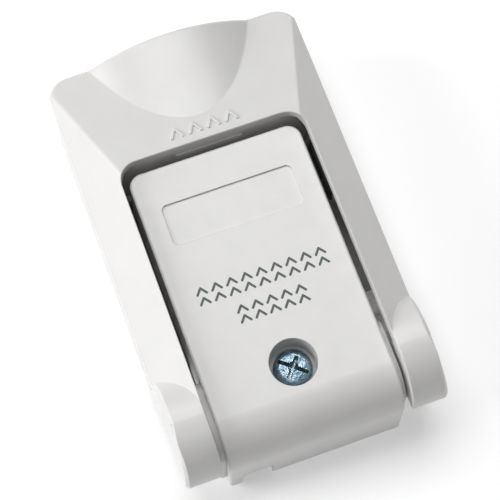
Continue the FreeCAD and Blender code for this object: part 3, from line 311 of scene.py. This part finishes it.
def board_mask(name):
    """Green solder mask: traces show as raised lines under it, with fine glass weave."""
    g = Graph(name)
    black, white = rgb(0.0, 0.0, 0.0), rgb(1.0, 1.0, 1.0)
    bricks = g.node("ShaderNodeTexBrick")
    g.feed(bricks, Vector=g.stretched((1.0, 1.0, 1.0), turn=(0.0, 0.0, math.radians(45.0))))
    g.feed(bricks, Color1=black, Color2=black, Mortar=white)
    g.feed(bricks, Scale=110.0, Mortar_Size=0.05, Mortar_Smooth=0.2)
    trace = bricks.outputs["Fac"]
    weave = g.feed(g.node("ShaderNodeTexChecker"), Scale=2600.0, Vector=g.place).outputs["Fac"]
    cloud = g.noise(300.0, roughness=0.6)
    mask = g.blotches(cloud, rgb(0.010, 0.075, 0.030), rgb(0.016, 0.105, 0.042))
    g.paint(g.mix(trace, mask, rgb(0.035, 0.19, 0.075)))
    g.roughen(cloud, 0.24, 0.38)
    g.bump([(trace, 0.5, 0.05 * MM), (weave, 0.08, 0.01 * MM)])
    return g.material


def dark_plastic(name):
    """Dark moulded plastic, grained and matt."""
    g = Graph(name)
    grain = g.noise(2800.0, detail=4.0, roughness=0.65)
    cloud = g.noise(240.0, roughness=0.6)
    g.paint(g.blotches(cloud, rgb(0.014, 0.018, 0.024), rgb(0.026, 0.032, 0.040)))
    g.roughen(grain, 0.42, 0.62)
    g.bump([(grain, 0.3, 0.03 * MM)])
    return g.material


def clear_glass(name):
    """Greenish glass tube with faint draw streaks."""
    g = Graph(name)
    streak = g.noise(700.0, detail=2.0, distortion=0.4, vector=g.stretched((1.0, 0.15, 1.0)))
    g.paint(g.blotches(streak, rgb(0.62, 0.80, 0.70), rgb(0.74, 0.88, 0.80)))
    g.roughen(streak, 0.02, 0.07)
    g.bump([(streak, 0.12, 0.03 * MM)])
    g.set(Transmission_Weight=0.85, IOR=1.5)
    return g.material


def print_ink(name):
    """Pad-printed ink: dark grey-green, slightly broken, matt."""
    g = Graph(name)
    grain = g.noise(3600.0, detail=4.0, roughness=0.7)
    cloud = g.noise(700.0, roughness=0.6)
    tone = g.blotches(cloud, rgb(0.060, 0.078, 0.074), rgb(0.085, 0.105, 0.100))
    g.paint(g.mix(g.ramp(grain, 0.60, 0.72, 0.0, 0.6), tone, rgb(0.34, 0.36, 0.35)))
    g.roughen(grain, 0.45, 0.6)
    g.bump([(grain, 0.2, 0.01 * MM)])
    return g.material


def floor_paint_and_glow(name):
    """Pale paint with a painted glow that keeps shadows soft; the glow is held back under the tray,
    which paints shade there.
    """
    g = Graph(name)
    hinge_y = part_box("hinge_pin_left")[0][1]
    half_width = cad_box[1][0]
    half_length = (cad_box[1][1] - hinge_y) / 2
    axes = g.axes()
    across = g.math("ABSOLUTE", axes["X"])
    along = g.math("ABSOLUTE", g.math("SUBTRACT", axes["Y"], hinge_y + half_length))
    outside = g.math(
        "MAXIMUM",
        g.ramp(across, half_width - FLOOR_GLOW_FADE, half_width, 0.0, 1.0),
        g.ramp(along, half_length - FLOOR_GLOW_FADE, half_length, 0.0, 1.0),
    )
    cloud = g.noise(18.0)
    g.paint(g.blotches(cloud, rgb(0.84, 0.84, 0.84), rgb(0.86, 0.86, 0.86)))
    g.roughen(cloud, 0.55, 0.65)
    # painted light and shade: the floor glows outside the tray and is left darker under it
    g.set(Emission_Color=rgb(1.0, 1.0, 1.0), Emission_Strength=g.math("MULTIPLY", outside, FLOOR_GLOW))
    return g.material


def make_materials():
    """One material for each of the record's slots."""
    # each plastic's shade and tone
    base_white = (rgb(0.645, 0.645, 0.63), rgb(0.67, 0.67, 0.655))
    warm_white = (rgb(0.67, 0.663, 0.654), rgb(0.69, 0.683, 0.674))
    # each metal's tone and dull patches
    steel = (rgb(0.60, 0.60, 0.61), rgb(0.40, 0.40, 0.42))
    spring = (rgb(0.55, 0.56, 0.58), rgb(0.36, 0.37, 0.40))
    tinned = (rgb(0.66, 0.65, 0.62), rgb(0.42, 0.41, 0.38))
    brass = (rgb(0.74, 0.52, 0.20), rgb(0.45, 0.30, 0.11))
    return {
        "base_plastic": white_plastic("base_abs", *base_white, 0.34, 0.46, grain=0.08),
        "cover_plastic": white_plastic("cover_abs", *warm_white, 0.29, 0.38),
        "lever_plastic": white_plastic("lever_abs", *warm_white, 0.29, 0.38),
        "zinc_steel": zinc("zinc_plate"),
        "steel": drawn_metal("bright_steel", *steel, (0.1, 3.0, 3.0)),
        "spring_steel": drawn_metal("spring_strip", *spring, (3.0, 0.1, 0.1)),
        "lead_wire": drawn_metal("tinned_wire", *tinned, (3.0, 0.1, 3.0), rough=(0.3, 0.5)),
        "brass": drawn_metal("machined_brass", *brass, (1.0, 1.0, 6.0)),
        "magnet": magnet_block("sintered_magnet"),
        "board": board_mask("board_mask"),
        "terminal_plastic": dark_plastic("terminal_moulding"),
        "glass": clear_glass("reed_glass_tube"),
    }


def dress_nodes(materials):
    """Gives each CAD node the material of its slot."""
    for entry in frame["record"]["subparts"]:
        slots = nodes[entry["node"]].data.materials
        material = materials[entry["material_slot"]]
        if len(slots) == 0:
            slots.append(material)
        for index in range(len(slots)):
            slots[index] = material


# Mesh helpers

SHARP_ANGLE = math.radians(35.0)
ABOVE_ALL = 100.0 * MM


def new_piece(name, mesh, material, body):
    """Smooth-shaded object that rides on a CAD body."""
    for polygon in mesh.polygons:
        polygon.use_smooth = True
    mesh.set_sharp_from_angle(angle=SHARP_ANGLE)
    mesh.materials.append(material)
    piece = bpy.data.objects.new(name, mesh)
    scene.collection.objects.link(piece)
    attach(piece, body)
    return piece


def rounded_edges(piece, width):
    bevel = piece.modifiers.new("edges", "BEVEL")
    bevel.width = width
    bevel.segments = 2
    bevel.angle_limit = SHARP_ANGLE
    bevel.harden_normals = True


def mesh_from(name, build):
    """Mesh that build(bm) makes, with its normals outwards."""
    bm = bmesh.new()
    build(bm)
    bmesh.ops.recalc_face_normals(bm, faces=bm.faces)
    mesh = bpy.data.meshes.new(name)
    bm.to_mesh(mesh)
    bm.free()
    return mesh


def cut_out(mesh, tool_mesh):
    """The mesh with another one cut out of it."""
    body = bpy.data.objects.new("body", mesh)
    tool = bpy.data.objects.new("tool", tool_mesh)
    scene.collection.objects.link(body)
    scene.collection.objects.link(tool)
    modifier = body.modifiers.new("cut", "BOOLEAN")
    modifier.object = tool
    modifier.solver = "EXACT"
    graph = bpy.context.evaluated_depsgraph_get()
    result = bpy.data.meshes.new_from_object(body.evaluated_get(graph))
    bpy.data.objects.remove(body)
    bpy.data.objects.remove(tool)
    return result


def landing(node, x, y):
    """Point and normal where a line from above meets a CAD node."""
    bpy.context.view_layer.update()
    start, down = Vector((x, y, ABOVE_ALL)), Vector((0.0, 0.0, -1.0))
    _, point, normal, _ = nodes[node].ray_cast(start, down)
    return point, normal


def standing_on(point, normal):
    """Frame whose Z is the surface's normal and whose X is the object's."""
    x_axis = Vector((1.0, 0.0, 0.0))
    y_axis = normal.cross(x_axis).normalized()
    place = Matrix((x_axis, y_axis, normal)).transposed().to_4x4()
    place.translation = point
    return place


def arc(centre, radius, start, stop, steps=6):
    angles = [start + (stop - start) * i / steps for i in range(steps + 1)]
    return [centre + Vector((math.cos(a), math.sin(a))) * radius for a in angles]


def band(bm, lower, upper):
    """Quads between two rings of vertices."""
    count = len(lower)
    for i in range(count):
        j = (i + 1) % count
        bm.faces.new((lower[i], lower[j], upper[j], upper[i]))


def skin(bm, rings):
    """Bands between rings of vertices, with both ends capped."""
    for lower, upper in zip(rings, rings[1:]):
        band(bm, lower, upper)
    bm.faces.new(list(reversed(rings[0])))
    bm.faces.new(rings[-1])


def prisms(bm, outlines, place, height, sink):
    """Each outline stands height above a plane and reaches sink into it."""
    for outline in outlines:
        top = [bm.verts.new(place @ Vector((p.x, p.y, height))) for p in outline]
        low = [bm.verts.new(place @ Vector((p.x, p.y, -sink))) for p in outline]
        bm.faces.new(top)
        bm.faces.new(list(reversed(low)))
        band(bm, low, top)


def ring_of(bm, place, count, height, radius_at):
    """Ring of vertices round Z whose radius depends on the share of a turn."""
    ring = []
    for i in range(count):
        share = i / count
        angle = 2 * math.pi * share
        radius = radius_at(share)
        corner = Vector((radius * math.cos(angle), radius * math.sin(angle), height))
        ring.append(bm.verts.new(place @ corner))
    return ring


# Marks: chevrons that point to the pull end

WINDOW_GAP = 0.8 * MM  # between the cover's top edge and the window's
RAISED_ABOVE_WINDOW = 3.3 * MM
RAISED_COUNT, RAISED_LENGTH = 4, 14.4 * MM
RAISED_MARK = {"width": 2.9 * MM, "height": 2.9 * MM, "stroke": 0.6 * MM}
RAISED_HEIGHT, RAISED_SINK, RAISED_ROUNDING = 0.3 * MM, 0.1 * MM, 0.09 * MM
PRINTED_X = 0.4 * MM
PRINTED_ROWS = ((-11.35 * MM, 9, 26.9 * MM), (-17.3 * MM, 5, 14.4 * MM))  # Y, count, length
PRINTED_LEVELS = (-1.05 * MM, 1.05 * MM)
PRINTED_MARK = {"width": 2.4 * MM, "height": 1.7 * MM, "stroke": 0.48 * MM}
PRINTED_HEIGHT, PRINTED_SINK = 0.02 * MM, 0.01 * MM


def chevron(width, height, stroke):
    """Outline of one chevron with round ends, from its top round the left side."""
    half = stroke / 2
    foot = Vector((half - width / 2, half))
    apex = Vector((0.0, height - half))
    along = (apex - foot).normalized()
    out = math.atan2(along.x, -along.y)
    left = arc(apex, half, math.pi / 2, out, 3) + arc(foot, half, out, out + math.pi)
    inner = Vector((0.0, apex.y - half / along.x))
    right = [Vector((-p.x, p.y)) for p in reversed(left[1:])]
    return left + [inner] + right


def chevron_row(count, length, width, height, stroke, levels=(0.0,)):
    """Outlines of chevrons spread over a length, centred on the origin and repeated at levels."""
    step = (length - width) / (count - 1)
    outlines = []
    for i in range(count):
        for level in levels:
            place = Vector((i * step - (length - width) / 2, level - height / 2))
            outlines.append([p + place for p in chevron(width, height, stroke)])
    return outlines


def make_raised_chevrons(material):
    """Four small raised chevrons on the ramp, just above the window."""
    window_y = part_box("front_cover")[1][1] + WINDOW_GAP
    place = standing_on(*landing("pull_lever", 0.0, window_y + RAISED_ABOVE_WINDOW))
    row = chevron_row(RAISED_COUNT, RAISED_LENGTH, **RAISED_MARK)

    def build(bm):
        prisms(bm, row, place, RAISED_HEIGHT, RAISED_SINK)

    mesh = mesh_from("raised_chevrons", build)
    piece = new_piece("raised_chevrons", mesh, material, "lever")
    rounded_edges(piece, RAISED_ROUNDING)


def make_printed_chevrons(material):
    """Two rows of double chevrons printed across the middle of the cover."""
    def build(bm):
        for y, count, length in PRINTED_ROWS:
            place = standing_on(*landing("front_cover", PRINTED_X, y))
            row = chevron_row(count, length, **PRINTED_MARK, levels=PRINTED_LEVELS)
            prisms(bm, row, place, PRINTED_HEIGHT, PRINTED_SINK)

    mesh = mesh_from("printed_chevrons", build)
    new_piece("printed_chevrons", mesh, material, "housing")


# Screws

COVER_SCREW = {
    "head_height": 2.4 * MM, "shank_radius": 1.9 * MM,
    "slot": 6.6 * MM, "arm": 4.6 * MM, "width": 1.1 * MM, "turn": -40.0,
}
BOARD_SCREW = {
    "head_height": 1.3 * MM, "shank_radius": 1.1 * MM,
    "slot": 2.6 * MM, "arm": 2.6 * MM, "width": 0.6 * MM, "turn": 15.0,
}
HEAD_SEGMENTS = 64
SCREW_ROUNDING = 0.05 * MM
SLIVER = 0.001 * MM  # edges this short go from the cut head
RECESS_DEPTH = 0.8  # of the head's height
RECESS_CORE = 2.1  # the core's half size, in half widths of an arm
RECESS_FLOOR = (0.82, 0.2)  # the recess's length and width there, as shares of the nominal ones
RECESS_MOUTH = (1.08, 1.1)
MOUTH_ABOVE = 0.3  # height of the tool above the head, in depths
THREAD_PITCH = 0.7 * MM
THREAD_DEPTH = 0.35 * THREAD_PITCH
THREAD_SEGMENTS = 24
THREAD_STEPS = 6  # rings in one pitch
TIP_RADIUS = 0.55  # of the shank's
TIP_LENGTH = 1.2  # in shank radii


def recess_tool(bm, place, top, slot, arm, width):
    """Tapered tool with a cross outline and a wide core that cuts a driver recess."""
    depth = RECESS_DEPTH * top
    levels = ((top - depth, RECESS_FLOOR), (top + MOUTH_ABOVE * depth, RECESS_MOUTH))
    rings = []
    for height, (reach, span) in levels:
        a, b, w = slot * reach / 2, arm * reach / 2, width * span / 2
        core = RECESS_CORE * w
        corners = [(a, w), (core, w), (w, core), (w, b), (-w, b), (-w, core), (-core, w), (-a, w)]
        corners += [(-x, -y) for x, y in corners]
        rings.append([bm.verts.new(place @ Vector((x, y, height))) for x, y in corners])
    skin(bm, rings)


def threaded_shank(bm, place, radius, length):
    """Shank below the head with a helical thread and a blunt tip."""
    count = int(length / THREAD_PITCH * THREAD_STEPS)
    rings = []
    for k in range(count + 1):
        above_tip = length * k / count
        height = above_tip - length
        full = above_tip / (TIP_LENGTH * radius)
        slimmed = radius * min(1.0, TIP_RADIUS + (1.0 - TIP_RADIUS) * full)

        def radius_at(share):
            phase = (height / THREAD_PITCH - share) % 1.0
            return slimmed - THREAD_DEPTH * abs(2.0 * phase - 1.0)

        rings.append(ring_of(bm, place, THREAD_SEGMENTS, height, radius_at))
    skin(bm, rings)


def pan_head(radius, height):
    """Profile of a pan head: flat underside, upright rim, round shoulder, slight crown."""
    shoulder = min(0.42 * radius, 0.75 * height)
    profile = [(0.97 * radius, 0.0), (radius, 0.04 * height)]
    corner = Vector((radius - shoulder, 0.95 * height - shoulder))
    profile += [(p.x, p.y) for p in arc(corner, shoulder, 0.0, 0.42 * math.pi, 8)]
    profile += [(0.3 * radius, 0.99 * height), (0.02 * radius, height)]
    return profile


def turned(bm, profile, place):
    """Solid of revolution from (radius, height) points, bottom to top."""
    rings = []
    for radius, height in profile:
        rings.append(ring_of(bm, place, HEAD_SEGMENTS, height, lambda _: radius))
    skin(bm, rings)


def make_screw(node, material, head_height, shank_radius, slot, arm, width, turn):
    """Pan-head screw with a driver recess and a thread, in the place of a plain CAD screw."""
    low, high = (Vector(corner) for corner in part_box(node))
    middle = (low + high) / 2
    seat = high.z - head_height
    radius = (high.x - low.x) / 2
    turning = Matrix.Rotation(math.radians(turn), 4, "Z")
    place = Matrix.Translation((middle.x, middle.y, seat)) @ turning
    profile = pan_head(radius, head_height)
    head = mesh_from("head", lambda bm: turned(bm, profile, place))
    tool = mesh_from("tool", lambda bm: recess_tool(bm, place, head_height, slot, arm, width))
    head = cut_out(head, tool)

    def build(bm):
        bm.from_mesh(head)
        bmesh.ops.dissolve_degenerate(bm, edges=bm.edges, dist=SLIVER)
        threaded_shank(bm, place, shank_radius, seat - low.z)

    mesh = mesh_from(node + "_turned", build)
    piece = new_piece(node + "_turned", mesh, material, "housing")
    rounded_edges(piece, SCREW_ROUNDING)
    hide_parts(node)


def make_screws(material):
    low, high = (Vector(corner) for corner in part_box("cover_screw"))
    # zinc with painted edge highlights, partly rubbed zinc, for the cover screw
    head_zinc = worn_highlit_zinc("zinc_worn_highlit", (low + high) / 2)
    make_screw("cover_screw", head_zinc, **COVER_SCREW)
    for node in ("board_screw_left", "board_screw_right"):
        make_screw(node, material, **BOARD_SCREW)


# Floor and light

FLOOR_HALF = 3.0
FLOOR_LEVEL = -0.4 * MM
LIGHT_TARGET = Vector((0.0, 0.0, 10.0 * MM))
WORLD_STRENGTH = 0.15
SOFT_BOXES = (  # name, place, size, watts
    ("overhead", (0.05, 0.45, 0.95), (0.9, 0.7), 7.4),
    ("key", (-0.95, 0.25, 0.42), (0.6, 0.5), 6.7),
    ("fill", (-0.14, -0.36, 0.92), (0.25, 0.25), 0.9),
)


def make_floor():
    mesh = bpy.data.meshes.new("floor")
    half = FLOOR_HALF
    outline = ((-half, -half), (half, -half), (half, half), (-half, half))
    mesh.from_pydata([(x, y, FLOOR_LEVEL) for x, y in outline], [], [(0, 1, 2, 3)])
    mesh.materials.append(floor_paint_and_glow("floor_paint_and_glow"))
    floor = bpy.data.objects.new("floor", mesh)
    scene.collection.objects.link(floor)


def soft_box(name, place, size, watts):
    data = bpy.data.lights.new(name, "AREA")
    data.shape = "RECTANGLE"
    data.size, data.size_y = size
    data.energy = watts
    aim = LIGHT_TARGET - Vector(place)
    aimed(bpy.data.objects.new(name, data), aim.to_track_quat("-Z", "Y"), place)


def make_light():
    world = bpy.data.worlds.new("studio")
    world.use_nodes = True
    back = world.node_tree.nodes["Background"]
    back.inputs["Color"].default_value = rgb(1.0, 1.0, 1.0)
    back.inputs["Strength"].default_value = WORLD_STRENGTH
    scene.world = world
    for box in SOFT_BOXES:
        soft_box(*box)
    scene.view_settings.view_transform = "Standard"


make_camera()
materials = make_materials()
dress_nodes(materials)
make_raised_chevrons(materials["lever_plastic"])
make_printed_chevrons(print_ink("print_ink"))
make_screws(materials["zinc_steel"])
make_floor()
make_light()
